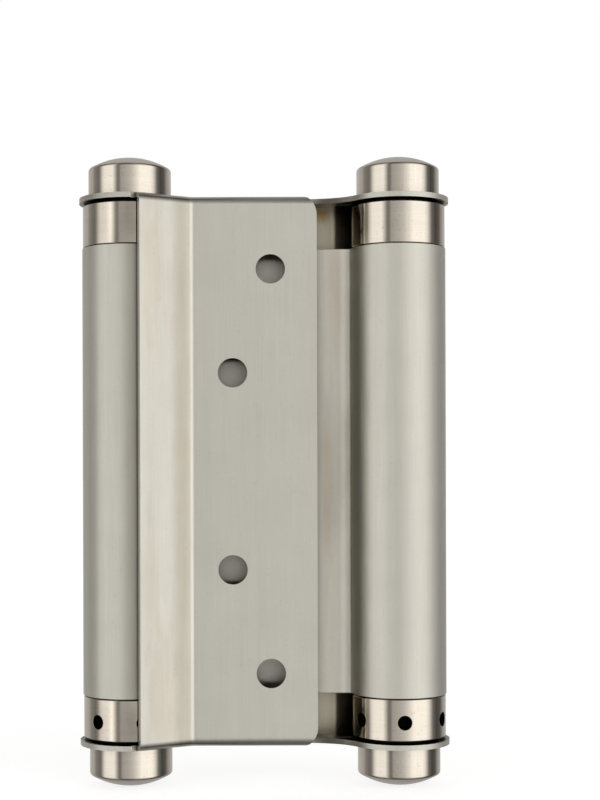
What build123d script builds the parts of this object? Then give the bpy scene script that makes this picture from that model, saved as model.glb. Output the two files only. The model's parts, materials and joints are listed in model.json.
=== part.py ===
from build123d import *
import os
from math import asin, atan2, cos, degrees, radians, sin, sqrt, tan

# Double action spring hinge, 150 mm size, shown closed.
# Two bent leaves stand back to back with a web between them. Each long edge of the web is rolled
# into a barrel that holds a torsion spring, and each leaf turns on one barrel by its two ears.
# X runs from the door leaf's barrel to the jamb leaf's barrel, Y from the door to the jamb, Z is up.
# The origin is the middle of the web. All sizes are in millimetres and angles in degrees.

# Leaves
leaf_height = 150.0  # over the outer faces of the two ears
sheet = 1.4  # thickness of leaves, web and barrels
leaf_standoff = 7.05  # from the middle of the web to the face that meets the door or jamb
leaf_free_edge = 14.4  # from the middle of the hinge to the free long edge
leaf_slant = 29.4  # angle of the strip that steps out round the barrel
slant_overrun = 4.0  # how far that strip runs on past its nearest point to the barrel
leaf_clearance = 0.3  # between that strip and the barrel
valley_radius = 1.2  # inside radius of the long bend
flange_radius = 1.35  # outside radius of the bends to the ears
corner_radius = 6.0  # round of the leaf's free corners
ear_end_setback = 3.0  # from the leaf's free edge to the end of the ear's edge strip

# Ears
ear_lip = 0.8  # how far the round of the ear stands out past the barrel
ear_fillet = 15.0  # hollow curve from the round of the ear to its edge strip
ear_taper = 10.8  # angle of the edge strip
ear_gap = 2.8  # between the edge strips of the two leaves
ear_tip_radius = 1.5
relief_width = 1.6  # small notch beside the end of the slanted strip
relief_depth = 1.4

# Countersunk screw holes, entered from the side of the leaf that faces the web
screw_hole_radius = 4.0
screw_land = 0.4  # plain length of the hole before the countersink
outer_screw_x = 1.75
outer_screw_spacing = 110.1
inner_screw_x = -8.6
inner_screw_spacing = 53.6

# Web and barrels, rolled from one sheet
barrel_spacing = 74.0
barrel_radius = 13.1
roll_radius = 1.0  # inside radius where the web turns into the barrel
seam_gap = 0.3  # slit where the rolled edge comes back to the web

# Collars that close the barrels
collar_height = 11.6  # the part that shows
collar_step = 0.2  # how far the collar stands back from the barrel
collar_chamfer = 0.3
spigot_length = 8.0
spigot_clearance = 0.05
turning_gap = 0.1  # between the tension collar's shoulder and the barrel
tension_hole_radius = 1.95
tension_hole_depth = 5.5
tension_hole_count = 6
tension_hole_drop = 0.6  # how far the holes lie nearer the ear than the middle of the collar
door_hole_turn = 20.0  # turn of the hole pattern from the door's side, in degrees
jamb_hole_turn = 2.5

# Thrust washers between ears and collars
thrust_gap = 0.7
washer_thickness = 0.6
washer_step = 2.1  # how far the washer's rim stands back from the collar

# Spindles, bushes and caps
spindle_radius = 4.0
spindle_chamfer = 0.6
running_clearance = 0.05
bush_radius = 5.6
bush_length = 15.0
bush_flange_radius = 7.5
bush_flange = 1.2
cap_radius = 11.35
cap_side = 8.1
cap_dome = 3.3
cap_edge_radius = 1.0
cap_chamfer = 0.3
cap_bore_depth = 7.0
bore_end_gap = 0.3

# Torsion springs
wire = 3.4  # square wire
coil_clearance = 1.4  # between the spring and the barrel's bore
coil_gap = 8.0  # free space between turns, drawn open so that the spring has few turns
coil_end_gap = 0.4
tang_length = 4.0
tang_clearance = 0.1

# Places that follow from the sizes above
barrel_x = barrel_spacing / 2
barrel_bore = barrel_radius - sheet
collar_radius = barrel_radius - collar_step
washer_radius = collar_radius - washer_step
ear_radius = barrel_radius + ear_lip
coil_radius = barrel_bore - coil_clearance - wire / 2
ear_top = leaf_height / 2
ear_bottom = ear_top - sheet
collar_top = ear_bottom - thrust_gap
barrel_end = collar_top - collar_height
spigot_end = barrel_end - spigot_length
hole_radius = spindle_radius + running_clearance
along_slant = Vector(-cos(radians(leaf_slant)), -sin(radians(leaf_slant)))
out_of_slant = Vector(sin(radians(leaf_slant)), -cos(radians(leaf_slant)))
door_axis = Vector(-barrel_x, 0)


def half_turn(shape):
    """The jamb's side of the hinge is the door's side turned half a turn about the middle."""
    return Rot(0, 0, 180) * shape


def turned(points):
    """A turned piece about Z from points of radius and height."""
    return revolve(Plane.XZ * Polygon(*points, align=None), Axis.Z)


def centre_web():
    """The web with a barrel rolled from each long edge, as one sheet in plan."""
    half = sheet / 2
    reach = barrel_radius + roll_radius
    roll_x = barrel_x - sqrt(reach**2 - (roll_radius + half) ** 2)
    roll_centre = (roll_x, -half - roll_radius)
    roll_end = degrees(atan2(half + roll_radius, barrel_x - roll_x))
    seam = degrees(asin((half + seam_gap) / barrel_radius))
    around = 360 - seam - roll_end
    barrel_centre = (barrel_x, 0)
    outside = CenterArc(barrel_centre, barrel_radius, 180 + roll_end, around)
    inside = CenterArc(barrel_centre, barrel_bore, 180 + roll_end, around)
    one_side = [
        Line((0, -half), (roll_x, -half)),
        CenterArc(roll_centre, roll_radius, roll_end, 90 - roll_end),
        outside,
        Line(outside @ 1, inside @ 1),
        inside,
        CenterArc(roll_centre, roll_radius + sheet, roll_end, 90 - roll_end),
        Line((roll_x, half), (0, half)),
    ]
    plan = make_face(one_side + [half_turn(edge) for edge in one_side])
    return extrude(plan, barrel_end, both=True)


def strip_line(distance):
    """Where the slanted strip's face, at this distance from the barrel's axis, is nearest to it."""
    return door_axis + out_of_slant * distance


def bend_point(distance, standoff):
    """Where that face meets the flat face that stands off the web by standoff."""
    slant = radians(leaf_slant)
    return Vector(-barrel_x + (distance - standoff * cos(slant)) / sin(slant), -standoff)


outer_distance = barrel_radius + leaf_clearance + sheet
inner_distance = outer_distance - sheet
strip_end = strip_line(outer_distance) + along_slant * slant_overrun
outer_bend = bend_point(outer_distance, leaf_standoff)
ear_end = leaf_free_edge - ear_end_setback


def leaf_sheet():
    """The upright sheet of the leaf: a flat plate and the strip that slants out round the barrel."""
    inner_standoff = leaf_standoff - sheet
    inner_bend = bend_point(inner_distance, inner_standoff)
    strip_end_inside = strip_end - out_of_slant * sheet
    free_outside = Vector(leaf_free_edge, -leaf_standoff)
    free_inside = Vector(leaf_free_edge, -inner_standoff)
    outside = FilletPolyline(free_outside, outer_bend, strip_end, radius=valley_radius)
    inside = FilletPolyline(free_inside, inner_bend, strip_end_inside, radius=valley_radius + sheet)
    ends = [Line(free_outside, free_inside), Line(strip_end, strip_end_inside)]
    plan = make_face(outside.edges() + inside.edges() + ends)
    return extrude(plan, ear_top, both=True), outside


def ear_plan():
    """Plan of an ear: a round about the spindle that runs out in a hollow curve to an edge strip."""
    taper = radians(ear_taper)
    along = Vector(cos(taper), -sin(taper))
    across = Vector(sin(taper), cos(taper))
    half_gap = ear_gap / 2
    offset = ear_fillet - half_gap - door_axis.dot(across)
    run = door_axis.dot(along) + sqrt((ear_radius + ear_fillet) ** 2 - offset**2)
    hollow_centre = along * run + across * (ear_fillet - half_gap)
    on_edge = along * run - across * half_gap
    to_hollow = (hollow_centre - door_axis).normalized()
    on_round = door_axis + to_hollow * ear_radius
    middle = hollow_centre + ((on_edge + on_round) / 2 - hollow_centre).normalized() * ear_fillet
    tip = Vector(ear_end, -half_gap / cos(taper) - ear_end * tan(taper))
    step = strip_end - out_of_slant * (sheet + relief_depth)
    outline = [
        ThreePointArc(on_round, middle, on_edge),
        Line(on_edge, tip),
        Line(tip, (ear_end, -leaf_standoff)),
        Line((ear_end, -leaf_standoff), outer_bend),
        Line(outer_bend, strip_end),
        Line(strip_end, step),
        Line(step, door_axis),
        Line(door_axis, on_round),
    ]
    tongue = make_face(outline)
    tongue = fillet(tongue.vertices().sort_by_distance(tip)[0], ear_tip_radius)
    beyond = strip_end + out_of_slant
    notch = make_face(
        Polyline(
            beyond,
            beyond + along_slant * relief_width,
            step + along_slant * relief_width,
            step,
            close=True,
        )
    )
    eye = Pos(*door_axis) * (Circle(ear_radius) - Circle(hole_radius))
    return tongue - Pos(*door_axis) * Circle(hole_radius) + eye - notch


def screw_hole(x, z):
    """One countersunk hole, plain at the outer face and widening at 45 degrees to the inner one."""
    over = 1.0
    wide = screw_hole_radius + sheet - screw_land
    cutter = turned(
        [
            (0, -over),
            (screw_hole_radius, -over),
            (screw_hole_radius, screw_land),
            (wide + over, sheet + over),
            (0, sheet + over),
        ]
    )
    return Pos(x, -leaf_standoff, z) * Rot(-90, 0, 0) * cutter


def free_corner():
    """The waste outside the round of the leaf's upper free corner."""
    rise = sqrt(corner_radius**2 - (corner_radius - ear_end_setback) ** 2)
    centre = Pos(leaf_free_edge - corner_radius, -leaf_standoff, ear_top - rise)
    size = 2 * corner_radius
    block = Box(size, size, size, align=(Align.MIN, Align.CENTER, Align.MIN))
    return centre * (block - Rot(90, 0, 0) * Cylinder(corner_radius, 2 * size))


def door_leaf():
    """A leaf with its two ears, rounded bends, free corners and screw holes."""
    leaf, outside = leaf_sheet()
    ear = Pos(0, 0, ear_bottom) * extrude(ear_plan(), sheet)
    leaf += [ear, mirror(ear, about=Plane.XY)]

    def on_bend(edge):
        point = edge @ 0.5
        level = abs(abs(point.Z) - ear_top) < 0.01
        return level and Vertex(point.X, point.Y, 0).distance_to(outside) < 0.01

    leaf = fillet(leaf.edges().filter_by(on_bend), min(flange_radius, 0.97 * sheet))
    corner = free_corner()
    leaf -= [corner, mirror(corner, about=Plane.XY)]
    for x, spacing in ((outer_screw_x, outer_screw_spacing), (inner_screw_x, inner_screw_spacing)):
        leaf -= [screw_hole(x, spacing / 2), screw_hole(x, -spacing / 2)]
    return leaf


def collar(shoulder_gap):
    """A collar for a barrel's upper end, with a spigot, a bore for the bush and a spring pocket.

    Its shoulder stands off the barrel's end by shoulder_gap.
    """
    bore = bush_radius + running_clearance
    shoulder = barrel_end + shoulder_gap
    counterbore = collar_top - bush_flange - running_clearance
    spigot = barrel_bore - spigot_clearance
    body = turned(
        [
            (bore, spigot_end),
            (spigot - collar_chamfer, spigot_end),
            (spigot, spigot_end + collar_chamfer),
            (spigot, shoulder),
            (collar_radius - collar_chamfer, shoulder),
            (collar_radius, shoulder + collar_chamfer),
            (collar_radius, collar_top - collar_chamfer),
            (collar_radius - collar_chamfer, collar_top),
            (bush_flange_radius + running_clearance, collar_top),
            (bush_flange_radius + running_clearance, counterbore),
            (bore, counterbore),
        ]
    )
    width = wire + 2 * tang_clearance
    depth = tang_length + tang_clearance
    pocket = Box(width, width, depth, align=(Align.CENTER, Align.CENTER, Align.MIN))
    return body - Pos(coil_radius, 0, spigot_end) * pocket


def tension_collar(hole_turn):
    """The collar that winds the spring, at the lower end, with holes for a bar all round it."""
    body = Rot(180, 0, 0) * collar(turning_gap)
    height = -(barrel_end + turning_gap + collar_top) / 2 - tension_hole_drop
    drill = Cylinder(tension_hole_radius, 2 * tension_hole_depth)
    for number in range(tension_hole_count):
        turn = hole_turn + number * 360 / tension_hole_count
        body -= Rot(0, 0, turn) * Pos(0, -collar_radius, height) * Rot(90, 0, 0) * drill
    return body


def bush():
    """A flanged nylon bush in the upper collar, in which the spindle turns."""
    bore = spindle_radius + running_clearance
    return turned(
        [
            (bore, collar_top - bush_length),
            (bush_radius, collar_top - bush_length),
            (bush_radius, collar_top - bush_flange),
            (bush_flange_radius, collar_top - bush_flange),
            (bush_flange_radius, collar_top),
            (bore, collar_top),
        ]
    )


def washer():
    """The thrust washer between the upper collar and the ear."""
    low = collar_top + (thrust_gap - washer_thickness) / 2
    ring = Circle(washer_radius) - Circle(hole_radius)
    return Pos(0, 0, low) * extrude(ring, washer_thickness)


def cap():
    """The domed cap on the spindle's upper end."""
    side = ear_top + cap_side
    crown = (cap_radius**2 + cap_dome**2) / (2 * cap_dome)
    lean = asin(cap_radius / crown) / 2
    on_dome = (crown * sin(lean), side + cap_dome - crown * (1 - cos(lean)))
    outline = [
        Line((0, ear_top), (cap_radius - cap_chamfer, ear_top)),
        Line((cap_radius - cap_chamfer, ear_top), (cap_radius, ear_top + cap_chamfer)),
        Line((cap_radius, ear_top + cap_chamfer), (cap_radius, side)),
        ThreePointArc((cap_radius, side), on_dome, (0, side + cap_dome)),
        Line((0, side + cap_dome), (0, ear_top)),
    ]
    profile = make_face(outline)
    profile = fillet(profile.vertices().sort_by_distance((cap_radius, side))[0], cap_edge_radius)
    body = revolve(Plane.XZ * profile, Axis.Z)
    bore = Cylinder(hole_radius, cap_bore_depth, align=(Align.CENTER, Align.CENTER, Align.MIN))
    return body - Pos(0, 0, ear_top) * bore


def spindle():
    """The rod that carries both ears and caps and turns in the two bushes."""
    length = leaf_height + 2 * (cap_bore_depth - bore_end_gap)
    rod = Cylinder(spindle_radius, length)
    ends = rod.edges().filter_by(GeomType.CIRCLE)
    return chamfer(ends, spindle_chamfer)


def spring():
    """A torsion spring of square wire, with a straight tang at each end in a collar's pocket."""
    height = 2 * (spigot_end - coil_end_gap) - wire
    turns = round(height / (wire + coil_gap))
    path = Helix(height / turns, height, coil_radius, center=(0, 0, -height / 2))
    start = Plane(path @ 0, x_dir=(1, 0, 0), z_dir=path % 0)
    coil = sweep(start * Rectangle(wire, wire), path, is_frenet=True)
    length = spigot_end + tang_length - height / 2
    tang = Box(wire, wire, length, align=(Align.CENTER, Align.CENTER, Align.MIN))
    upper = Pos(coil_radius, 0, height / 2) * tang
    coil = coil + upper
    return coil + Rot(180, 0, 0) * upper


def one_side(hole_turn):
    """Every piece that belongs to one barrel, about the door's barrel."""
    at_barrel = Pos(-barrel_x, 0, 0)
    upside_down = Rot(180, 0, 0)
    return {
        "leaf": door_leaf(),
        "spindle": at_barrel * spindle(),
        "top_cap": at_barrel * cap(),
        "bottom_cap": at_barrel * upside_down * cap(),
        "top_washer": at_barrel * washer(),
        "bottom_washer": at_barrel * upside_down * washer(),
        "top_bush": at_barrel * bush(),
        "bottom_bush": at_barrel * upside_down * bush(),
        "top_collar": at_barrel * collar(0),
        "tension_collar": at_barrel * tension_collar(hole_turn),
        "spring": at_barrel * spring(),
    }


pieces = {"centre_web": centre_web()}
for name, shape in one_side(door_hole_turn).items():
    pieces["door_" + name] = shape
for name, shape in one_side(jamb_hole_turn + 180).items():
    pieces["jamb_" + name] = half_turn(shape)

os.makedirs("parts", exist_ok=True)
for name, shape in pieces.items():
    export_step(shape, f"parts/{name}.step")
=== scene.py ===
"""Dresses a double action spring hinge: satin leaves and barrels, polished collars and caps."""

import json
import logging
import math
from dataclasses import dataclass, replace
from enum import Enum

import bmesh
import bpy
from mathutils import Matrix, Vector


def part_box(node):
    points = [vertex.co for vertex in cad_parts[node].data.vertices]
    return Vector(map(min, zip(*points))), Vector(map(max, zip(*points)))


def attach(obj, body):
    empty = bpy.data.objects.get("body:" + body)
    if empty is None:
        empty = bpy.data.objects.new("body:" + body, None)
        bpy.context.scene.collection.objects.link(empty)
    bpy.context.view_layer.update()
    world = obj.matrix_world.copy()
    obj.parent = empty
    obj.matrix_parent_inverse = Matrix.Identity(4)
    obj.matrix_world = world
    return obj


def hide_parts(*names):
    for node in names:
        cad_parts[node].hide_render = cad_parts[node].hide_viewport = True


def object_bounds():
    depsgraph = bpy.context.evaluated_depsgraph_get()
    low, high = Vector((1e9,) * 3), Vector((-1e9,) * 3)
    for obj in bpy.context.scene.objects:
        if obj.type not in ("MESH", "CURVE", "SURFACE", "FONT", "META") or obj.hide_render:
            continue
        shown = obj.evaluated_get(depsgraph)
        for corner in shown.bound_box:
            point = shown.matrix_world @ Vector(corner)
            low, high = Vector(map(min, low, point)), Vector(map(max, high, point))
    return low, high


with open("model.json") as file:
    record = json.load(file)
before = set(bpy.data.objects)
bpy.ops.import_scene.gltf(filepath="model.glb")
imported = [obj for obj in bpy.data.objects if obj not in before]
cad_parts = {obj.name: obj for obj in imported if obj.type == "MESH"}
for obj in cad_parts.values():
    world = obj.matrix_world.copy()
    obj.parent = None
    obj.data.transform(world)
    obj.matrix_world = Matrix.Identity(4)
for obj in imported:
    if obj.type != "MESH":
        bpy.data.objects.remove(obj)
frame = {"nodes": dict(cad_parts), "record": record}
CAD_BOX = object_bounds()

MM = 0.001
UP = Vector((0, 0, 1))
TOWARDS_CAMERA = Vector((0, -1, 0))
MERGE = 0.002 * MM  # points nearer than this are one
SLACK = 0.05  # millimetres that a face or edge may lie off the surface it is sought on
WHITE = (1, 1, 1, 1)
LOG = logging.getLogger("hinge")

Piece = bpy.types.Object
Material = bpy.types.Material
Tree = bpy.types.NodeTree
Socket = bpy.types.NodeSocket
Source = Socket | float | tuple  # what feeds a node's input
Inputs = dict[str | int, Source]
Triple = tuple[float, float, float]


class Side(Enum):
    """The two like halves of the hinge, each the other turned half a turn about Z."""

    DOOR = "door"
    JAMB = "jamb"


class End(Enum):
    """The two ends of a barrel."""

    TOP = 1
    BOTTOM = -1


def flat(x: float, y: float, z: float = 0.0) -> Vector:
    """A point given in millimetres."""
    return Vector((x, y, z)) * MM


def barrel_axis(side: Side) -> Vector:
    """Where a barrel's axis crosses the hinge's middle, read from its collar."""
    low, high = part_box(f"{side.value}_top_collar")
    return Vector(((low.x + high.x) / 2, (low.y + high.y) / 2, 0))


def pick_alone(piece: Piece) -> None:
    """Selects one piece and nothing else.

    Args:
        piece: The piece, which becomes the active one too.
    """
    bpy.ops.object.select_all(action="DESELECT")
    piece.select_set(True)
    bpy.context.view_layer.objects.active = piece


def settle(piece: Piece, name: str) -> Piece:
    """Leaves edit mode, names the piece and puts its place into its mesh.

    Args:
        piece: The piece that was being modelled.
        name: Its final name.

    Returns:
        The same piece, at the origin, with its faces pointing outwards.
    """
    if piece.mode == "EDIT":
        bpy.ops.object.mode_set(mode="OBJECT")
    pick_alone(piece)
    bpy.ops.object.transform_apply(location=True, rotation=True, scale=True)
    bpy.ops.object.mode_set(mode="EDIT")
    bpy.ops.mesh.select_all(action="SELECT")
    bpy.ops.mesh.remove_doubles(threshold=MERGE)
    bpy.ops.mesh.normals_make_consistent(inside=False)
    bpy.ops.object.mode_set(mode="OBJECT")
    piece.name = piece.data.name = name
    return piece


def finish_with(piece: Piece, kind: str, **settings: object) -> None:
    """Adds a modifier and applies it.

    Args:
        piece: The piece to change.
        kind: The modifier's type.
        settings: Its properties.
    """
    pick_alone(piece)
    modifier = piece.modifiers.new(kind.lower(), kind)
    for key, value in settings.items():
        setattr(modifier, key, value)
    bpy.ops.object.modifier_apply(modifier=modifier.name)


def combine(piece: Piece, tools: list[Piece], operation: str) -> None:
    """Cuts or trims a piece with tools, which are used up.

    Args:
        piece: The piece to change.
        tools: Solids, taken one after another.
        operation: DIFFERENCE or INTERSECT.
    """
    for tool in tools:
        finish_with(piece, "BOOLEAN", object=tool, operation=operation, solver="EXACT")
        bpy.data.objects.remove(tool)


def soften(piece: Piece, width: float, angle: float = 35.0) -> None:
    """Rounds a piece's creases, then shades it smooth between those that are left.

    Args:
        piece: The piece to change.
        width: Width of the rounding, in millimetres.
        angle: Creases sharper than this many degrees are rounded.
    """
    finish_with(
        piece,
        "BEVEL",
        width=width * MM,
        segments=2,
        limit_method="ANGLE",
        angle_limit=math.radians(angle),
        use_clamp_overlap=True,
        miter_outer="MITER_ARC",
    )
    pick_alone(piece)
    bpy.ops.object.shade_smooth_by_angle(angle=math.radians(30))
    finish_with(piece, "WEIGHTED_NORMAL", keep_sharp=True, weight=100)


def half_turned(piece: Piece, name: str) -> Piece:
    """Copies a piece to the hinge's other side, half a turn about Z.

    Args:
        piece: The piece on one side.
        name: The copy's name.

    Returns:
        The copy, with a mesh of its own.
    """
    copy = piece.copy()
    copy.data = piece.data.copy()
    bpy.context.scene.collection.objects.link(copy)
    copy.data.transform(Matrix.Rotation(math.pi, 4, "Z"))
    copy.name = copy.data.name = name
    return copy


class Outline:
    """An outline drawn from one vertex by extrusion and spin, as by hand."""

    def __init__(self, start: Vector, normal: Vector = UP) -> None:
        """Places the first vertex.

        Args:
            start: Where the outline begins.
            normal: The direction about which its arcs turn.
        """
        bpy.ops.object.select_all(action="DESELECT")
        bpy.ops.mesh.primitive_circle_add(
            vertices=3, radius=MM, location=start, enter_editmode=True
        )
        self.piece = bpy.context.object
        self.at = start.copy()
        self.normal = normal
        bpy.ops.mesh.merge(type="CENTER")

    def to(self, *points: Vector) -> None:
        """Draws straight edges.

        Args:
            points: Where each edge ends, in order.
        """
        for point in points:
            move = {"value": tuple(point - self.at)}
            bpy.ops.mesh.extrude_region_move(TRANSFORM_OT_translate=move)
            self.at = point.copy()

    def arc(self, centre: Vector, degrees: float, steps: int) -> None:
        """Draws an arc from where the outline has come to.

        Args:
            centre: The arc's centre.
            degrees: Its turn, anticlockwise about the normal when positive.
            steps: How many edges it has.
        """
        angle = math.radians(degrees)
        bpy.ops.mesh.spin(steps=steps, angle=-angle, center=centre, axis=self.normal)
        self.at = centre + Matrix.Rotation(angle, 3, self.normal) @ (self.at - centre)

    def fill(self) -> None:
        """Closes the outline with a face."""
        bpy.ops.mesh.select_all(action="SELECT")
        bpy.ops.mesh.remove_doubles(threshold=MERGE)
        bpy.ops.mesh.edge_face_add()

    def raised(self, move: Vector, name: str) -> Piece:
        """Extrudes all that is drawn.

        Args:
            move: How far and which way.
            name: The finished piece's name.

        Returns:
            A prism from a filled outline, or an open wall from a line.
        """
        bpy.ops.mesh.select_all(action="SELECT")
        bpy.ops.mesh.extrude_region_move(TRANSFORM_OT_translate={"value": tuple(move)})
        return settle(self.piece, name)

    def centred(self, height: float, name: str) -> Piece:
        """Fills the outline and extrudes it upwards and downwards alike.

        Args:
            height: The whole height, in millimetres.
            name: The finished piece's name.

        Returns:
            The prism, with the outline halfway up.
        """
        self.fill()
        prism = self.raised(flat(0, 0, height), name)
        prism.data.transform(Matrix.Translation(flat(0, 0, -height / 2)))
        return prism

    def turned(self, axis: Vector, name: str, steps: int = 144) -> Piece:
        """Spins the outline once round an upright axis.

        Args:
            axis: A point of the axis.
            name: The finished piece's name.
            steps: How many sides its rounds have.

        Returns:
            The turned piece.
        """
        bpy.ops.mesh.select_all(action="SELECT")
        bpy.ops.mesh.spin(steps=steps, angle=2 * math.pi, center=axis, axis=UP)
        return settle(self.piece, name)


def rod(radius: float, low: float, high: float, steps: int) -> Piece:
    """Turns a plain round tool about Z, its sizes in millimetres.

    Args:
        radius: Its radius.
        low: Height of its lower end.
        high: Height of its upper end.
        steps: How many sides its round has.

    Returns:
        The tool.
    """
    outline = Outline(flat(0, 0, low))
    outline.to(flat(radius, 0, low), flat(radius, 0, high), flat(0, 0, high))
    return outline.turned(Vector(), "rod", steps)


@dataclass
class Leaf:
    """One bent leaf with two ears, drawn for the door's side, with sizes in millimetres."""

    sheet: float = 1.4
    slant: float = 29.4
    slant_overrun: float = 4.0
    leaf_clearance: float = 0.3
    barrel_radius: float = 13.1
    valley_radius: float = 1.2
    flange_radius: float = 2.4
    corner_radius: float = 6.0
    ear_end_setback: float = 3.0
    ear_radius: float = 13.9
    ear_fillet: float = 15.0
    ear_taper: float = 10.8
    ear_gap: float = 2.8
    ear_tip_radius: float = 1.5
    relief_width: float = 1.6
    relief_depth: float = 1.4
    hole_radius: float = 4.0
    hole_land: float = 0.4
    outer_screw: tuple[float, float] = (1.75, 55.05)
    inner_screw: tuple[float, float] = (-8.6, 26.8)
    spindle_hole_radius: float = 4.05
    edge_round: float = 0.22

    def __post_init__(self) -> None:
        """Reads the leaf's reach from the frame and works out the slanted strip's line."""
        _, high = (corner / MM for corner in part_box("door_leaf"))
        mounts = {mount["name"]: mount for mount in frame["record"]["mounts"]}
        lean = math.radians(self.slant)
        self.top = high.z
        self.free_edge = high.x
        self.axis = barrel_axis(Side.DOOR) / MM
        self.run = Vector((-math.cos(lean), -math.sin(lean), 0))
        self.out = Vector((math.sin(lean), -math.cos(lean), 0))
        self.reach = self.barrel_radius + self.leaf_clearance + self.sheet
        self.strip_end = self.axis + self.out * self.reach + self.run * self.slant_overrun
        self.standoff = -mounts["door_face"]["pos_m"][1] / MM
        self.bend_x = self.axis.x + (self.reach - self.standoff * math.cos(lean)) / math.sin(lean)
        tangent = self.valley_radius * math.tan(lean / 2)
        self.valley = Vector((self.bend_x + tangent, -self.standoff - self.valley_radius, 0))

    def _block(self, inset: float, over: float, name: str) -> Piece:
        """Makes a solid block whose front follows the leaf's bent face.

        Args:
            inset: How far inside the outer face the block's front and ends lie.
            over: How far it runs on past the leaf's free edge and back.
            name: The block's name.

        Returns:
            The block, which reaches past the ears' outline on the other sides.
        """
        front = inset - self.standoff
        depth = 2.4 * self.ear_radius + over
        width = 3 * self.ear_radius + over
        on_slant = self.valley - self.out * (self.valley_radius + inset)
        far = on_slant + self.run * width
        outline = Outline(far * MM)
        outline.to(on_slant * MM)
        outline.arc(self.valley * MM, -self.slant, steps=10)
        outline.to(
            flat(self.free_edge + over, front),
            flat(self.free_edge + over, depth),
            (far - self.out * 2 * depth) * MM,
        )
        return outline.centred(2 * (self.top - inset), name)

    def _round_flanges(self, block: Piece) -> None:
        """Rounds the front edges at both ends, where the sheet bends back into the ears.

        Args:
            block: The outer block.
        """
        pick_alone(block)
        bpy.ops.object.mode_set(mode="EDIT")
        bpy.ops.mesh.select_all(action="DESELECT")
        for edge in bmesh.from_edit_mesh(block.data).edges:
            first, second = (vertex.co / MM for vertex in edge.verts)
            in_front = max(self._behind_front(first), self._behind_front(second)) < SLACK
            if in_front and abs(first.z - second.z) < SLACK:
                edge.select_set(True)
        bmesh.update_edit_mesh(block.data)
        bpy.ops.mesh.bevel(offset=self.flange_radius * MM, segments=8, affect="EDGES")
        settle(block, block.name)

    def _behind_front(self, point: Vector) -> float:
        """Measures how far a point lies behind the leaf's outer face.

        Args:
            point: The point, in millimetres.

        Returns:
            The distance, below nought in front of the face.
        """
        if point.x > self.valley.x:
            return point.y + self.standoff
        away = Vector((point.x, point.y, 0)) - self.valley
        if away.dot(self.run) > 0:
            return -away.dot(self.out) - self.valley_radius
        return away.length - self.valley_radius

    def _plan(self) -> Piece:
        """Draws the leaf's plan: the ear's round and edge strip, and the sheet in front.

        Returns:
            A prism of that plan, taller than the leaf.
        """
        taper = math.radians(self.ear_taper)
        strip = Vector((math.cos(taper), -math.sin(taper), 0))
        across = Vector((math.sin(taper), math.cos(taper), 0))
        half_gap = self.ear_gap / 2

        # The hollow curve that leads from the ear's round to its edge strip.
        offset = self.ear_fillet - half_gap - self.axis.dot(across)
        reach = self.ear_radius + self.ear_fillet
        run = self.axis.dot(strip) + math.sqrt(reach**2 - offset**2)
        hollow = strip * run + across * (self.ear_fillet - half_gap)
        on_edge = strip * run - across * half_gap
        towards = (hollow - self.axis).normalized()
        on_round = self.axis + towards * self.ear_radius
        hollow_turn = math.degrees((on_edge - hollow).angle(on_round - hollow))

        # The round at the ear's tip.
        ear_end = self.free_edge - self.ear_end_setback
        tip = Vector((ear_end, -half_gap / math.cos(taper) - ear_end * math.tan(taper), 0))
        tip_turn = 90 - self.ear_taper
        lap = self.ear_tip_radius * math.tan(math.radians(tip_turn) / 2)
        tip_centre = tip - strip * lap - across * self.ear_tip_radius

        # The relief notch beside the end of the slanted strip.
        notch_run = self.slant_overrun + self.relief_width
        notch_out = math.sqrt(self.ear_radius**2 - notch_run**2)
        notch = self.out * notch_out + self.run * notch_run
        floor = self.reach - self.sheet - self.relief_depth
        round_turn = 360 - math.degrees(towards.angle(notch.normalized()))

        ahead = 1.5  # in front of the leaf's outer face
        front = -self.standoff - ahead
        inside = -self.standoff + self.sheet
        beyond = self.free_edge + 2 * ahead
        corners = (
            self.axis + self.out * floor + self.run * notch_run,
            self.axis + self.out * floor + self.run * self.slant_overrun,
            self.strip_end + self.out * ahead,
            Vector((self.bend_x, front, 0)),
            Vector((beyond, front, 0)),
            Vector((beyond, inside, 0)),
            Vector((ear_end, inside, 0)),
            Vector((ear_end, tip.y - lap, 0)),
        )
        outline = Outline(on_round * MM)
        outline.arc(self.axis * MM, round_turn, steps=160)
        outline.to(*(corner * MM for corner in corners))
        outline.arc(tip_centre * MM, tip_turn, steps=8)
        outline.to(on_edge * MM)
        outline.arc(hollow * MM, -hollow_turn, steps=24)
        return outline.centred(2.2 * self.top, "plan")

    def _corner(self, end: End) -> Piece:
        """Makes the tool that rounds a free corner.

        Args:
            end: Which corner, the upper or the lower one.

        Returns:
            The waste outside the round.
        """
        over = 2.0
        radius = self.corner_radius
        inset = radius - self.ear_end_setback
        drop = math.sqrt(radius**2 - inset**2)
        front = -self.standoff - over
        foot, head = self.top - drop, self.top + over
        outline = Outline(flat(self.free_edge, front, foot), TOWARDS_CAMERA)
        lean = math.degrees(math.asin(drop / radius))
        outline.arc(flat(self.free_edge - radius, front, foot), lean, steps=20)
        outline.to(
            flat(self.free_edge - self.ear_end_setback, front, head),
            flat(self.free_edge + over, front, head),
            flat(self.free_edge + over, front, foot),
        )
        outline.fill()
        waste = outline.raised(flat(0, over + self.sheet + over, 0), "corner")
        if end is End.BOTTOM:
            waste.data.transform(Matrix.Scale(-1, 4, UP))
            waste.data.flip_normals()
        return waste

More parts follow.
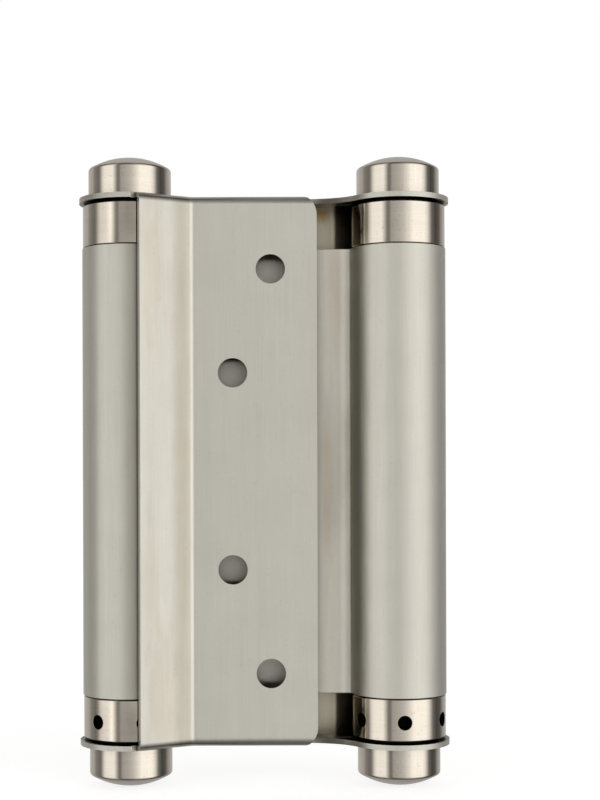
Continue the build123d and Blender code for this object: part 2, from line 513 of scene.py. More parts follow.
    def _screw_tool(self, x: float, z: float) -> Piece:
        """Makes the tool for one screw hole, narrow in front and wide at the web.

        Args:
            x: The hole's place across the hinge, in millimetres.
            z: Its height.

        Returns:
            The tool.
        """
        over = 1.0
        wide = self.hole_radius + self.sheet - self.hole_land
        outline = Outline(flat(0, 0, -over))
        outline.to(
            flat(self.hole_radius, 0, -over),
            flat(self.hole_radius, 0, self.hole_land),
            flat(wide + over, 0, self.sheet + over),
            flat(0, 0, self.sheet + over),
        )
        tool = outline.turned(Vector(), "screw_tool", steps=72)
        tool.data.transform(Matrix.Rotation(-math.pi / 2, 4, "X"))
        tool.data.transform(Matrix.Translation(flat(x, -self.standoff, z)))
        return tool

    def build(self) -> list[Piece]:
        """Makes both leaves.

        Returns:
            The door's leaf and the jamb's, which is the same turned half a turn.
        """
        leaf = self._block(inset=0, over=0, name="door_leaf_plate")
        self._round_flanges(leaf)
        combine(leaf, [self._block(inset=self.sheet, over=5.0, name="hollow")], "DIFFERENCE")
        combine(leaf, [self._plan()], "INTERSECT")
        bore = rod(self.spindle_hole_radius, -2 * self.top, 2 * self.top, steps=64)
        bore.data.transform(Matrix.Translation(self.axis * MM))
        tools = [self._corner(end) for end in End] + [bore]
        for x, z in (self.outer_screw, self.inner_screw):
            tools += [self._screw_tool(x, z), self._screw_tool(x, -z)]
        combine(leaf, tools, "DIFFERENCE")
        settle(leaf, "door_leaf_plate")
        soften(leaf, self.edge_round)
        return [leaf, half_turned(leaf, "jamb_leaf_plate")]

    def shade_and_tint_inside(self, leaf: Piece, side: Side, finish: Material) -> None:
        """Gives the leaf's inner faces, towards the web and barrel, a darker, browner material:
        painted shade and heat tint.

        Args:
            leaf: The finished leaf.
            side: Which side it belongs to.
            finish: The material of its inner faces, darker as painted shade and browner as heat
                tint.
        """
        square_on = 0.8  # the least cosine of a face that looks in
        past_bend = 1.0
        turn = 1 if side is Side.DOOR else -1
        leaf.data.materials.append(finish)
        for face in leaf.data.polygons:
            normal = Vector((turn * face.normal.x, turn * face.normal.y, face.normal.z))
            middle = face.center / MM
            on_flat = turn * middle.y < -self.standoff + self.sheet + SLACK
            on_strip = turn * middle.x < self.bend_x + past_bend
            between_ears = abs(middle.z) < self.top - self.sheet + SLACK
            looks_in = max(normal.y, -normal.dot(self.out)) > square_on
            if between_ears and looks_in and (on_flat or on_strip):
                face.material_index = 1


@dataclass
class WebSheet:
    """The web and its two barrels, rolled from one sheet, with sizes in millimetres."""

    sheet: float = 1.4
    barrel_radius: float = 13.1
    roll_radius: float = 1.0
    seam_gap: float = 0.3
    edge_round: float = 0.25

    def build(self) -> Piece:
        """Draws the sheet's middle line from the hinge's centre, rolls it and thickens it.

        Returns:
            The web with both barrels.
        """
        low, high = (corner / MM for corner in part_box("centre_web"))
        axis = barrel_axis(Side.JAMB) / MM
        middle_radius = self.barrel_radius - self.sheet / 2
        roll = self.roll_radius + self.sheet / 2
        start = axis.x - math.sqrt((middle_radius + roll) ** 2 - roll**2)
        lean = math.degrees(math.atan2(roll, axis.x - start))
        seam = math.degrees(math.asin((self.sheet / 2 + self.seam_gap) / self.barrel_radius))
        outline = Outline(flat(0, 0, low.z))
        outline.to(flat(start, 0, low.z))
        outline.arc(flat(start, -roll, low.z), lean - 90, steps=10)
        outline.arc(flat(axis.x, 0, low.z), 360 - lean - seam, steps=160)
        web = outline.raised(flat(0, 0, high.z - low.z), "web_and_barrels")
        other = half_turned(web, "other_half")
        pick_alone(web)
        other.select_set(True)
        bpy.ops.object.join()
        settle(web, "web_and_barrels")
        finish_with(web, "SOLIDIFY", thickness=self.sheet * MM, offset=0, use_even_offset=True)
        settle(web, "web_and_barrels")
        soften(web, self.edge_round, angle=50.0)
        return web


@dataclass
class TurnedPart:
    """A round part at a barrel's end, drawn as half a section and turned; millimetres."""

    side: Side
    end: End

    def __post_init__(self) -> None:
        """Reads the part's axis and its reach, outwards from the hinge's middle height."""
        low, high = (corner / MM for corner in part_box(self.node))
        at_top = self.end is End.TOP
        self.axis = barrel_axis(self.side)
        self.foot = low.z if at_top else -high.z
        self.top = high.z if at_top else -low.z

    @property
    def node(self) -> str:
        """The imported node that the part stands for."""
        raise NotImplementedError

    def at(self, radius: float, height: float) -> Vector:
        """A point of the half section, its height counted outwards from the middle."""
        return self.axis + flat(radius, 0, self.end.value * height)


@dataclass
class Collar(TurnedPart):
    """A collar that closes a barrel's end, plain at the top and drilled at the bottom."""

    radius: float = 12.9
    edge: float = 0.3
    bush_flange_radius: float = 7.55
    bush_flange: float = 1.25
    bush_radius: float = 5.65
    spigot_radius: float = 11.65
    spigot_length: float = 8.0
    turning_gap: float = 0.1
    hole_radius: float = 1.95
    hole_depth: float = 5.5
    hole_count: int = 6
    hole_drop: float = 0.6
    edge_round: float = 0.12

    @property
    def node(self) -> str:
        """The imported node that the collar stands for."""
        kind = "top_collar" if self.end is End.TOP else "tension_collar"
        return f"{self.side.value}_{kind}"

    @property
    def shoulder(self) -> float:
        """Height of the shoulder over the barrel's end, where a tension collar has a gap."""
        return self.foot + self.spigot_length + (0 if self.end is End.TOP else self.turning_gap)

    def build(self, hole_turn: float) -> Piece:
        """Turns the collar and, at the bottom, drills the holes for the tension bar.

        Args:
            hole_turn: Turn of the hole pattern from straight in front, in degrees.

        Returns:
            The finished collar.
        """
        floor = self.top - self.bush_flange
        outline = Outline(self.at(self.bush_radius, self.foot))
        outline.to(
            self.at(self.spigot_radius, self.foot),
            self.at(self.spigot_radius, self.shoulder),
            self.at(self.radius - self.edge, self.shoulder),
            self.at(self.radius, self.shoulder + self.edge),
            self.at(self.radius, self.top - self.edge),
            self.at(self.radius - self.edge, self.top),
            self.at(self.bush_flange_radius, self.top),
            self.at(self.bush_flange_radius, floor),
            self.at(self.bush_radius, floor),
            self.at(self.bush_radius, self.foot),
        )
        name = self.node + "_ring"
        ring = outline.turned(self.axis, name)
        if self.end is End.BOTTOM:
            combine(ring, self._drills(hole_turn), "DIFFERENCE")
            settle(ring, name)
        soften(ring, self.edge_round)
        return ring

    def _drills(self, hole_turn: float) -> list[Piece]:
        """Makes the drills for the holes round the collar.

        Args:
            hole_turn: Turn of the first from straight in front, in degrees.

        Returns:
            One drill for each hole.
        """
        proud = 2.0
        middle = self.at(0, (self.shoulder + self.top) / 2 + self.hole_drop)
        drills = []
        for number in range(self.hole_count):
            turn = math.radians(hole_turn + number * 360 / self.hole_count)
            drill = rod(self.hole_radius, -self.hole_depth, proud, steps=40)
            drill.data.transform(Matrix.Rotation(math.pi / 2, 4, "X"))
            drill.data.transform(Matrix.Translation(flat(0, -self.radius, 0)))
            drill.data.transform(Matrix.Rotation(turn, 4, "Z"))
            drill.data.transform(Matrix.Translation(middle))
            drills.append(drill)
        return drills

    def paint_hole_shade(self, ring: Piece, finish: Material) -> None:
        """Gives the faces inside the drilled holes a near-black material of their own, as painted
        shade.

        Args:
            ring: The finished collar.
            finish: The holes' near-black material of painted shade.
        """
        rim = 0.13  # a hole's softened edge stays bright
        deep = 1.0
        past_floor = 0.3
        margin = 0.4  # clear of the shoulder and the bush
        straight_out = 0.9  # the least cosine of a face of the outside
        ring.data.materials.append(finish)
        for face in ring.data.polygons:
            away = (face.center - self.axis) / MM
            height = abs(away.z)
            away.z = 0
            depth = self.radius - away.length
            in_wall = rim < depth < self.hole_depth + past_floor
            in_height = self.shoulder + margin < height < self.top - self.bush_flange - margin
            outside = face.normal.dot(away) > straight_out * away.length
            if in_wall and in_height and (depth > deep or not outside):
                face.material_index = 1


@dataclass
class DomedCap(TurnedPart):
    """A domed cap pressed on a spindle's end."""

    radius: float = 11.35
    dome: float = 3.3
    edge: float = 1.0
    foot_edge: float = 0.3
    bore_radius: float = 4.05
    bore_depth: float = 7.0
    edge_round: float = 0.1

    @property
    def node(self) -> str:
        """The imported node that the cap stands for."""
        return f"{self.side.value}_{self.end.name.lower()}_cap"

    def build(self) -> Piece:
        """Draws half the cap's section, with rounded shoulder and shallow dome, and turns it.

        Returns:
            The finished cap.
        """
        sign = self.end.value
        crown = (self.radius**2 + self.dome**2) / (2 * self.dome)
        crown_centre = self.top - crown
        inner = self.radius - self.edge
        shoulder = crown_centre + math.sqrt((crown - self.edge) ** 2 - inner**2)
        dome_lean = math.degrees(math.asin(inner / (crown - self.edge)))
        bore_end = self.foot + self.bore_depth
        outline = Outline(self.at(0, bore_end), TOWARDS_CAMERA)
        outline.to(
            self.at(self.bore_radius, bore_end),
            self.at(self.bore_radius, self.foot),
            self.at(self.radius - self.foot_edge, self.foot),
            self.at(self.radius, self.foot + self.foot_edge),
            self.at(self.radius, shoulder),
        )
        outline.arc(self.at(inner, shoulder), sign * (90 - dome_lean), steps=8)
        outline.arc(self.at(0, crown_centre), sign * dome_lean, steps=24)
        cap = outline.turned(self.axis, self.node + "_dome")
        soften(cap, self.edge_round)
        return cap


class Nodes:
    """A small bench for laying out shader nodes in a tree."""

    def __init__(self, tree: Tree) -> None:
        """Starts on a tree, which may be a material's, a group's or the world's."""
        self.tree = tree

    def feed(self, node: bpy.types.Node, inputs: Inputs) -> None:
        """Sets or links a node's inputs.

        Args:
            node: The node.
            inputs: A constant or a socket for each input, by its name or number.
        """
        for key, value in inputs.items():
            if isinstance(value, Socket):
                self.tree.links.new(value, node.inputs[key])
            else:
                node.inputs[key].default_value = value

    def add(self, kind: str, inputs: Inputs | None = None, **settings: object) -> bpy.types.Node:
        """Adds a node.

        Args:
            kind: The node's type.
            inputs: What feeds it.
            settings: Its properties.

        Returns:
            The node.
        """
        node = self.tree.nodes.new(kind)
        for key, value in settings.items():
            setattr(node, key, value)
        self.feed(node, inputs or {})
        return node

    def get(self, kind: str, inputs: Inputs, output: str | int = 0, **settings: object) -> Socket:
        """Adds a node and gives one of its outputs."""
        return self.add(kind, inputs, **settings).outputs[output]

    def math(self, operation: str, *terms: Source) -> Socket:
        """The result of a sum on sockets or numbers."""
        return self.get("ShaderNodeMath", dict(enumerate(terms)), operation=operation)

    def multiply(self, color: Source, by: Source, share: Source = 1.0) -> Socket:
        """A colour multiplied by a colour or tone, by a share of the way."""
        inputs = {0: share, 6: color, 7: by}
        return self.get("ShaderNodeMix", inputs, 2, data_type="RGBA", blend_type="MULTIPLY")

    def noise(self, vector: Socket, scale: float, detail: float) -> Socket:
        """The value of a noise texture on a vector."""
        return self.get("ShaderNodeTexNoise", {"Vector": vector, "Scale": scale, "Detail": detail})

    def stretch(self, vector: Socket, scale: Triple, turn: Triple = (0, 0, 0)) -> Socket:
        """A vector scaled unevenly, which draws a pattern out in one direction."""
        return self.get("ShaderNodeMapping", {"Vector": vector, "Rotation": turn, "Scale": scale})

    def remap(
        self,
        value: Socket,
        low: float = 0.0,
        high: float = 1.0,
        start: float = 0.0,
        end: float = 1.0,
        shape: str = "LINEAR",
    ) -> Socket:
        """Spreads a value's span over another.

        Args:
            value: The value.
            low: The result at the span's start.
            high: The result at its end.
            start: Where the span starts.
            end: Where it ends.
            shape: How the result goes from low to high.

        Returns:
            The result.
        """
        inputs = {"Value": value, "From Min": start, "From Max": end, "To Min": low, "To Max": high}
        return self.get("ShaderNodeMapRange", inputs, interpolation_type=shape)

    def bump(self, height: Socket, depth: float) -> Socket:
        """A normal bent by a height that stands for so many millimetres."""
        return self.get("ShaderNodeBump", {"Distance": depth * MM, "Height": height})

    def effect(self, tree: Tree, inputs: Inputs) -> bpy.types.bpy_prop_collection:
        """The outputs of a shared effect."""
        return self.add("ShaderNodeGroup", inputs, node_tree=tree).outputs


def start_material(name: str) -> tuple[Material, Nodes]:
    """Makes a material.

    Args:
        name: Its name.

    Returns:
        The material and a bench on its tree.
    """
    material = bpy.data.materials.new(name)
    material.use_nodes = True
    return material, Nodes(material.node_tree)


class Group(Nodes):
    """The bench of a node group."""

    def __init__(self, name: str, inputs: dict[str, str], outputs: tuple[str, ...]) -> None:
        """Makes an empty group.

        Args:
            name: Its name.
            inputs: Socket type of each input.
            outputs: The outputs, all of them numbers.
        """
        super().__init__(bpy.data.node_groups.new(name, "ShaderNodeTree"))
        for label, kind in inputs.items():
            self.tree.interface.new_socket(label, in_out="INPUT", socket_type=kind)
        for label in outputs:
            self.tree.interface.new_socket(label, in_out="OUTPUT", socket_type="NodeSocketFloat")
        self.given = self.add("NodeGroupInput").outputs

    def give(self, results: Inputs) -> Tree:
        """Closes the group with its results and gives its tree."""
        self.add("NodeGroupOutput", results)
        return self.tree


def grain_group() -> Tree:
    """Lays out fine parallel brush lines with broader streaks, all along one direction.

    Returns:
        The group's tree.
    """
    group = Group("brush_grain", {"Vector": "NodeSocketVector"}, ("Height", "Line", "Streak"))
    place = group.given["Vector"]
    return group.give({
        "Height": group.noise(place, scale=6.0, detail=2.0),
        "Line": group.noise(place, scale=2.2, detail=3.0),
        "Streak": group.noise(place, scale=0.35, detail=2.0),
    })


def marks_group() -> Tree:
    """Lays out handling marks: cloudy smears, small dark specks and a few crossing scratches.

    Returns:
        The group's tree.
    """
    group = Group("handling_marks", {"Vector": "NodeSocketVector"}, ("Smear", "Speck", "Scratch"))
    place = group.given["Vector"]
    specks = group.noise(place, scale=1300.0, detail=2.0)
    crossing = group.stretch(place, (1400, 1400, 45), turn=(0.3, 0.9, 0.5))
    scratches = group.noise(crossing, scale=1.0, detail=1.0)
    return group.give({
        "Smear": group.noise(place, scale=90.0, detail=3.0),
        "Speck": group.remap(specks, start=0.63, end=0.72),
        "Scratch": group.remap(scratches, start=0.70, end=0.78),
    })


def occlusion_shade_group() -> Tree:
    """Lays out how open a spot is, for painted shade: 1 where it faces free air, 0 deep in a narrow
    gap.

    Returns:
        The group's tree.
    """
    group = Group("occlusion_shade", {}, ("Open",))
    near = group.get("ShaderNodeAmbientOcclusion", {"Distance": 9 * MM}, "AO", samples=8)
    return group.give({"Open": group.remap(near, start=0.15, end=0.85)})


def patch_group() -> Tree:
    """Lays out a soft oval patch with a mottled edge, for a tint or for painted light and shade at
    one place.

    Returns:
        The group's tree.
    """
    vectors = dict.fromkeys(("Vector", "Middle", "Size"), "NodeSocketVector")
    group = Group("patch", {**vectors, "Mottle": "NodeSocketFloat"}, ("Mask",))
    given = group.given
    kind = "ShaderNodeVectorMath"
    away = group.get(kind, {0: given["Vector"], 1: given["Middle"]}, operation="SUBTRACT")
    share = group.get(kind, {0: away, 1: given["Size"]}, operation="DIVIDE")
    length = group.get(kind, {0: share}, "Value", operation="LENGTH")
    drawn_out = group.stretch(given["Vector"], (1, 1, 0.2))
    uneven = group.math("SUBTRACT", group.noise(drawn_out, scale=420.0, detail=4.0), 0.5)
    moved = group.math("MULTIPLY", group.math("MULTIPLY", uneven, given["Mottle"]), 4.0)
    reach = group.math("ADD", length, moved)
    return group.give({"Mask": group.remap(reach, start=1.0, end=0.15, shape="SMOOTHSTEP")})


@dataclass(frozen=True)
class Effects:
    """The effects that finishes share, each a node group."""

    grain: Tree
    marks: Tree
    occlusion_shade: Tree
    patch: Tree


@dataclass(frozen=True)
class TintAndPaintedLight:
    """A tinted patch at one place on a finish, with middle and reach in millimetres: a streak or
    heat tint, or painted light and shade.
    """

    middle: Triple
    size: Triple
    tint: Triple
    mottle: float = 0.3


@dataclass(frozen=True)
class Steel:
    """A steel finish with brush lines along one direction, across which reflections spread."""

    name: str
    color: Triple
    roughness: float
    stretch: Triple
    roughness_spread: float = 0.05
    grain_depth: float = 0.01
    line: float = 0.05
    streak: float = 0.035
    smear: float = 0.05
    specks: float = 0.06
    scratches: float = 0.0
    spread: float = 0.0
    spread_turn: float = 0.0
    # share by which the colour is darkened in narrow gaps between parts: painted shade
    occlusion_shade_share: float = 0.9
    tints_and_painted_light: tuple[TintAndPaintedLight, ...] = ()

    def dress(self, kit: Effects) -> Material:
        """Lays out the finish's nodes.

        Args:
            kit: The effects that finishes share.

        Returns:
            The material.
        """
        material, bench = start_material(self.name)
        place = bench.get("ShaderNodeTexCoord", {}, "Object")
        brush = bench.effect(kit.grain, {"Vector": bench.stretch(place, self.stretch)})
        worn = bench.effect(kit.marks, {"Vector": place})
        # Painted shade: the colour darkens where ambient occlusion finds surfaces nearby.
        occlusion_shade = bench.effect(kit.occlusion_shade, {})
        tone = bench.remap(occlusion_shade["Open"], 1 - self.occlusion_shade_share, 1.0)
        for value, low, high in (
            (brush["Line"], 1 - self.line, 1 + self.line),
            (brush["Streak"], 1 - self.streak, 1 + self.streak),
            (worn["Smear"], 1 - self.smear, 1 + self.smear),
            (worn["Speck"], 1.0, 1 - self.specks),
            (worn["Scratch"], 1.0, 1 + self.scratches),
        ):
            tone = bench.math("MULTIPLY", tone, bench.remap(value, low, high))
        color = bench.multiply((*self.color, 1), tone)
        # Each patch multiplies the colour by its tint: some are streaks and heat tint, the others
        # painted light and shade.
        for tint_and_light in self.tints_and_painted_light:
            patch = bench.effect(kit.patch, {
                "Vector": place,
                "Middle": flat(*tint_and_light.middle),
                "Size": flat(*tint_and_light.size),
                "Mottle": tint_and_light.mottle,
            })
            color = bench.multiply(color, (*tint_and_light.tint, 1), patch["Mask"])
        low, high = self.roughness - self.roughness_spread, self.roughness + self.roughness_spread
        bench.feed(bench.tree.nodes["Principled BSDF"], {
            "Metallic": 1.0,
            "Anisotropic": self.spread,
            "Anisotropic Rotation": self.spread_turn,
            "Base Color": color,
            "Roughness": bench.remap(brush["Height"], low, high),
            "Normal": bench.bump(brush["Height"], self.grain_depth),
        })
        return material


@dataclass(frozen=True)
class MouldedNylon:
    """Pale moulded plastic with a faint orange-peel surface."""

    color: Triple = (0.72, 0.70, 0.64)
    roughness: float = 0.5
    darkest: float = 0.85
    palest: float = 1.1
    peel_depth: float = 0.01

    def dress(self, kit: Effects) -> Material:
        """Lays out the finish's nodes.

        Args:
            kit: The effects that finishes share.

        Returns:
            The material.
        """
        material, bench = start_material("nylon")
        place = bench.get("ShaderNodeTexCoord", {}, "Object")
        worn = bench.effect(kit.marks, {"Vector": place})
        tone = bench.remap(worn["Smear"], self.darkest, self.palest)
        bench.feed(bench.tree.nodes["Principled BSDF"], {
            "Roughness": self.roughness,
            "Base Color": bench.multiply((*self.color, 1), tone),
            "Normal": bench.bump(worn["Smear"], self.peel_depth),
        })
        return material


UPRIGHT = (900, 900, 22)
TURNED = (70, 70, 1500)

# The tinted patches are streaks and heat tint, and painted light and shade: painted highlights
# where near lamps would shine, and painted shade in creases, gaps and on edges, which a light set
# that is far away leaves out.
SATIN = Steel(
    "satin_steel", (0.765, 0.737, 0.648), 0.30, UPRIGHT, spread=1.0,
    tints_and_painted_light=(
        TintAndPaintedLight((-21.9, -10.0, 0), (4.2, 6.0, 260), (0.79, 0.755, 0.70), 0.08),
        # Painted highlight along the bend between the slanted strip and the flat.
        TintAndPaintedLight((-19.8, -7.2, 0), (0.6, 1.1, 400), (1.22, 1.22, 1.22), 0.02),
        TintAndPaintedLight((-29.0, -13.0, 58), (6.0, 5.0, 34), (0.965, 0.93, 0.90), 0.4),
        TintAndPaintedLight((-27.5, -12.5, -62), (6.0, 5.0, 26), (0.95, 0.905, 0.87), 0.4),
        TintAndPaintedLight((-31.0, -13.5, 42), (3.0, 6.0, 40), (1.05, 1.04, 1.03), 0.25),
        TintAndPaintedLight((-30.0, -13.5, -30), (4.0, 6.0, 30), (0.95, 0.93, 0.90), 0.25),
        # Painted shade on the left barrel beside the door leaf's edge.
        TintAndPaintedLight((-34.4, -12.6, 0), (5.0, 1.9, 400), (0.58, 0.58, 0.56), 0.05),
        # Painted light on the web, a painted highlight by its right edge, and painted shade in the
        # crease where it meets the right barrel.
        TintAndPaintedLight((18.0, -0.7, 0), (9.5, 1.2, 400), (1.18, 1.16, 1.14), 0.05),
        TintAndPaintedLight((22.6, -0.7, 0), (2.2, 1.2, 400), (1.4, 1.4, 1.4), 0.02),
        TintAndPaintedLight((25.0, -5.6, 0), (5.4, 8.6, 400), (0.40, 0.40, 0.37), 0.05),
        TintAndPaintedLight((20.0, -0.7, 50), (2.6, 1.5, 25), (0.95, 0.90, 0.86), 0.3),
        # Painted highlights on the fronts of both barrels.
        TintAndPaintedLight((33.2, -12.6, 0), (3.6, 4.0, 400), (1.12, 1.12, 1.12), 0.02),
        TintAndPaintedLight((-39.3, -12.9, 0), (3.0, 3.6, 400), (1.12, 1.12, 1.12), 0.02),
        # Painted shade on the left barrel's left side.
        TintAndPaintedLight((-46.4, -9.0, 0), (2.6, 4.6, 400), (0.84, 0.84, 0.83), 0.05),
        TintAndPaintedLight((19.5, -0.7, 1), (8.0, 1.2, 32), (0.87, 0.86, 0.85), 0.2),
        # Painted shade along the door leaf's lower edge and on the upper edge beside the left
        # barrel.
        TintAndPaintedLight((0, -6.5, -75.2), (60.0, 8.0, 3.4), (0.60, 0.60, 0.58), 0.05),
        TintAndPaintedLight((-45.0, -9.0, 74.4), (10.0, 10.0, 2.6), (0.66, 0.66, 0.64), 0.05),
        TintAndPaintedLight((17.5, -0.7, -8), (2.2, 1.5, 30), (0.92, 0.89, 0.86), 0.3),
        # Painted shade in the gaps at the top and bottom beside the right barrel.
        TintAndPaintedLight((19.0, -2.6, 74.2), (14.0, 4.5, 3.6), (0.20, 0.20, 0.19), 0.03),
        TintAndPaintedLight((19.0, -2.6, -74.2), (14.0, 4.5, 3.6), (0.20, 0.20, 0.19), 0.03),
    ),
)
# The leaves' inner faces: darker than the satin as painted shade, browner as heat tint, with a
# heat-tint mark near the top.
LEAF_INSIDE_SHADE_AND_TINT = Steel(
    "leaf_inside_shade_and_tint", (0.62, 0.565, 0.435), 0.34, UPRIGHT, line=0.1, streak=0.08, smear=0.12,
    spread=0.6, tints_and_painted_light=(TintAndPaintedLight((16.2, 5.6, 71.6), (3.0, 3.0, 3.8), (0.74, 0.55, 0.30), 0.3),),
)
POLISHED = Steel(
    "polished_steel", (0.79, 0.715, 0.61), 0.085, TURNED, roughness_spread=0.03, grain_depth=0.0015,
    line=0.06, streak=0.05, smear=0.05, specks=0.14, scratches=0.10, spread=0.5, spread_turn=0.25,
    # All the collars' patches are painted light and shade: darker and paler bands where near lamps
    # and nearby parts would light or shade them.
    tints_and_painted_light=tuple(
        TintAndPaintedLight((x, y, height), (wide, deep, 14.0), tint, 0.05)
        for height in (68.5, -68.5)
        for x, y, wide, deep, tint in (
            (26.3, -7.2, 3.6, 6.0, (0.34, 0.34, 0.32)),
            (-34.6, -12.7, 5.4, 4.0, (0.56, 0.56, 0.54)),
            (-40.4, -12.4, 2.0, 3.0, (1.26, 1.24, 1.2)),
            (-43.8, -11.0, 3.2, 4.0, (0.80, 0.79, 0.78)),
        )
    ),
)
# The caps take less painted shade from ambient occlusion, and no tinted patches.
CAPPED = replace(POLISHED, name="polished_caps", occlusion_shade_share=0.3, tints_and_painted_light=())
DRAWN = Steel("bright_steel", (0.60, 0.60, 0.59), 0.22, UPRIGHT)
OILED = Steel("spring_steel", (0.16, 0.155, 0.15), 0.38, (60, 60, 60), smear=0.2, specks=0.3)
# Near-black painted shade, for the insides of the collars' holes and for each washer in its gap.
SHADE_BLACK = Steel("shade_black_steel", (0.05, 0.048, 0.045), 0.5, (300, 300, 300), roughness_spread=0.1)

# Brightness by azimuth in degrees, from the camera's side, positive to the right.
ROUND_ABOUT = (
    (-180, 0.50), (-148, 0.46), (-122, 0.38), (-110, 0.20), (-92, 0.12), (-85, 0.26), (-76, 0.80),
    (-68, 1.0), (-44, 1.04), (-35, 0.45), (-30, 0.16), (-25, 0.16), (-20, 0.36), (0, 0.48),
    (10, 0.60), (24, 0.90), (34, 1.18), (64, 1.18), (74, 0.85), (81, 0.4), (87, 0.12), (100, 0.02),
    (116, 0.06), (128, 0.26), (145, 0.42), (180, 0.50),
)
# Its share by height in degrees, and the share of the wall behind by how far back a ray goes.
BOX_HEIGHT = (
    (-90, 0.10), (-67, 0.17), (-53, 0.30), (-39, 0.52), (-16, 1.0),
    (16, 1.0), (39, 0.52), (53, 0.30), (67, 0.17), (90, 0.10),
)
BACK_WALL = ((-0.5, 0.0), (0.02, 0.0), (0.2, 1.0), (0.5, 1.0))


@dataclass(frozen=True)
class Studio:
    """The plain light set, floor and camera, in metres and degrees."""

    distance: float = 0.4423
    lens: float = 72.0
    sensor: float = 36.0
    shift_x: float = 0.0445
    shift_y: float = 0.089
    roll: float = -0.16
    floor_size: float = 30.0
    floor_grey: float = 0.8
    floor_glow: float = 0.75
    wall_share: float = 0.8
    fill: float = 0.05

    def camera(self) -> None:
        """Puts the camera level in front of the hinge, framed off centre as the photo is."""
        data = bpy.data.cameras.new("camera")
        data.lens = self.lens
        data.sensor_width = self.sensor
        data.shift_x = self.shift_x
        data.shift_y = self.shift_y
        camera = bpy.data.objects.new("camera", data)
        camera.location = (0, -self.distance, 0)
        camera.rotation_euler = (math.pi / 2, 0, 0)
        camera.rotation_euler.rotate_axis("Z", math.radians(self.roll))
        bpy.context.scene.collection.objects.link(camera)
        bpy.context.scene.camera = camera

    def floor(self) -> None:
        """Lays a pale floor under the lower caps, which the steel doesn't mirror."""
        bpy.ops.object.select_all(action="DESELECT")
        bpy.ops.mesh.primitive_plane_add(size=self.floor_size, location=(0, 0, CAD_BOX[0].z))
        floor = bpy.context.object
        floor.name = "floor"
        material, bench = start_material("pale_floor")
        bench.tree.nodes.clear()
        ray = bench.add("ShaderNodeLightPath").outputs
        matt = bench.get("ShaderNodeBsdfDiffuse", {"Color": (*[self.floor_grey] * 3, 1)})
        shine = bench.math("MULTIPLY", ray["Is Camera Ray"], self.floor_glow)
        glow = bench.get("ShaderNodeEmission", {"Strength": shine})
        both = bench.get("ShaderNodeAddShader", {0: matt, 1: glow})
        clear = bench.get("ShaderNodeBsdfTransparent", {})
        choose = bench.get("ShaderNodeMixShader", {0: ray["Is Glossy Ray"], 1: both, 2: clear})
        bench.add("ShaderNodeOutputMaterial", {"Surface": choose})
        floor.data.materials.append(material)

    def world(self) -> None:
        """Surrounds the hinge with upright soft boxes and dark gaps, white to the camera."""
        world = bpy.data.worlds.new("studio")
        bpy.context.scene.world = world
        world.use_nodes = True
        world.node_tree.nodes.clear()
        bench = Nodes(world.node_tree)
        ray = bench.get("ShaderNodeTexCoord", {}, "Generated")
        way = bench.add("ShaderNodeSeparateXYZ", {0: ray}).outputs
        azimuth = bench.math("ARCTAN2", way["X"], bench.math("MULTIPLY", way["Y"], -1.0))
        share = bench.math("ADD", bench.math("DIVIDE", azimuth, 2 * math.pi), 0.5)
        climb = bench.math("ARCSINE", way["Z"])
        height = bench.math("ADD", bench.math("DIVIDE", climb, math.pi), 0.5)
        behind = bench.math("MULTIPLY_ADD", way["Y"], 0.5, 0.5)
        round_about = self._ramp(bench, share, 360, ROUND_ABOUT)
        reach = self._ramp(bench, height, 180, BOX_HEIGHT)
        wall = bench.math("MULTIPLY", self._ramp(bench, behind, 1, BACK_WALL), self.wall_share)
        lit = bench.math("MAXIMUM", reach, wall)
        level = bench.math("ADD", bench.math("MULTIPLY", round_about, lit), self.fill)
        light = bench.get("ShaderNodeBackground", {"Color": WHITE, "Strength": level})
        white = bench.get("ShaderNodeBackground", {"Color": WHITE})
        seen = bench.get("ShaderNodeLightPath", {}, "Is Camera Ray")
        choose = bench.get("ShaderNodeMixShader", {0: seen, 1: light, 2: white})
        bench.add("ShaderNodeOutputWorld", {"Surface": choose})

    @staticmethod
    def _ramp(
        bench: Nodes, share: Socket, span: float, stops: tuple[tuple[float, float], ...]
    ) -> Socket:
        """Lays out a run of levels over a span that is centred on nought.

        Args:
            bench: The bench to lay it out on.
            share: Where a ray falls in the span, from 0 to 1.
            span: The whole span, in the unit of the stops.
            stops: Place and level of each stop, in order.

        Returns:
            The level.
        """
        node = bench.add("ShaderNodeValToRGB", {"Fac": share})
        ramp = node.color_ramp
        while len(ramp.elements) < len(stops):
            ramp.elements.new(0.5)
        for element, (at, level) in zip(ramp.elements, stops):
            element.position = at / span + 0.5
            element.color = (level, level, level, 1)
        return node.outputs["Color"]


def place(piece: Piece, body: str, slot: str, material: Material, *nodes: str) -> None:
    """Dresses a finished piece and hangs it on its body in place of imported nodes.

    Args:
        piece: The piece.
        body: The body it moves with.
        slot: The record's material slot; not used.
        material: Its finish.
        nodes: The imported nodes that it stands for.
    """
    piece.data.materials.clear()
    piece.data.materials.append(material)
    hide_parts(*nodes)
    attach(piece, body)
    LOG.info("%s: %d faces", piece.name, len(piece.data.polygons))


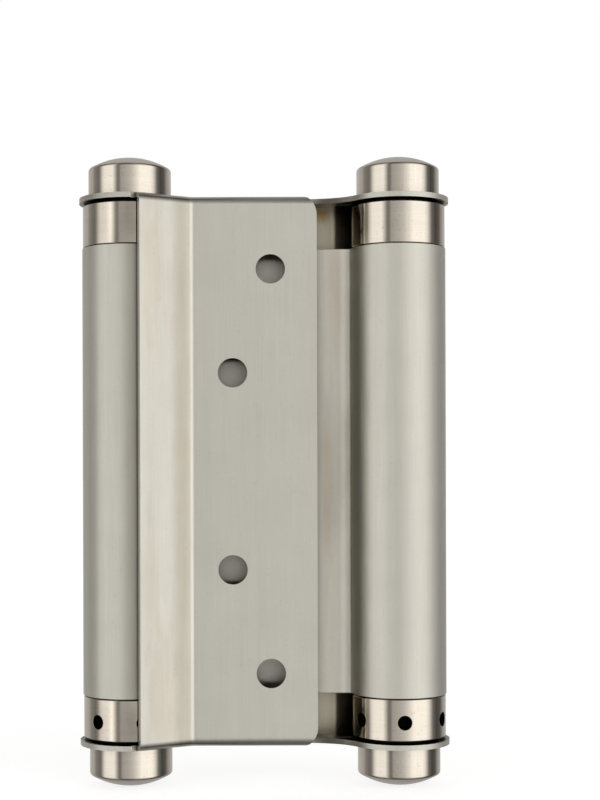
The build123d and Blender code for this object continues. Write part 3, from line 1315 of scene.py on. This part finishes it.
def dress_packed(finishes: dict[str, Material], washer_shade: Material) -> None:
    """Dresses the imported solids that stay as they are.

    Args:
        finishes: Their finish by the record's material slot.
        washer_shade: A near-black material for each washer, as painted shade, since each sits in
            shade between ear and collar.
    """
    for subpart in frame["record"]["subparts"]:
        name = subpart["node"]
        finish = finishes.get(subpart["material_slot"])
        if finish:
            node = frame["nodes"][name]
            node.data.materials.clear()
            # Each washer is painted near black, as shade in the gap between ear and collar.
            node.data.materials.append(washer_shade if name.endswith("washer") else finish)
            LOG.info("%s: packed", name)


def main() -> None:
    """Builds, dresses and lights the hinge."""
    logging.basicConfig(level=logging.INFO, format="%(message)s")
    studio = Studio()
    studio.camera()
    kit = Effects(grain_group(), marks_group(), occlusion_shade_group(), patch_group())
    satin, inner, polished, capped, dark, drawn, oiled = (
        finish.dress(kit) for finish in (SATIN, LEAF_INSIDE_SHADE_AND_TINT, POLISHED, CAPPED, SHADE_BLACK, DRAWN, OILED)
    )
    nylon = MouldedNylon().dress(kit)
    pattern = Leaf()
    for leaf, side in zip(pattern.build(), Side):
        place(leaf, f"{side.value}_side", "satin_steel", satin, f"{side.value}_leaf")
        # The inner faces are painted darker as shade and browner as heat tint.
        pattern.shade_and_tint_inside(leaf, side, inner)
    place(WebSheet().build(), "web", "satin_steel", satin, "centre_web")
    hole_turns = {Side.DOOR: 20.0, Side.JAMB: 2.5}
    for side in Side:
        for end in End:
            collar = Collar(side, end)
            body = "web" if end is End.TOP else f"{side.value}_tension"
            ring = collar.build(hole_turns[side])
            place(ring, body, "polished_steel", polished, collar.node)
            if end is End.BOTTOM:
                # The insides of the tension holes are painted near black as shade.
                collar.paint_hole_shade(ring, dark)
            cap = DomedCap(side, end)
            place(cap.build(), f"{side.value}_side", "polished_steel", capped, cap.node)
    # The near-black painted shade also goes on each washer.
    dress_packed({"bright_steel": drawn, "spring_steel": oiled, "nylon": nylon}, dark)
    studio.floor()
    studio.world()
    scene = bpy.context.scene
    scene.view_settings.view_transform = "Standard"


if __name__ == "__main__":
    main()
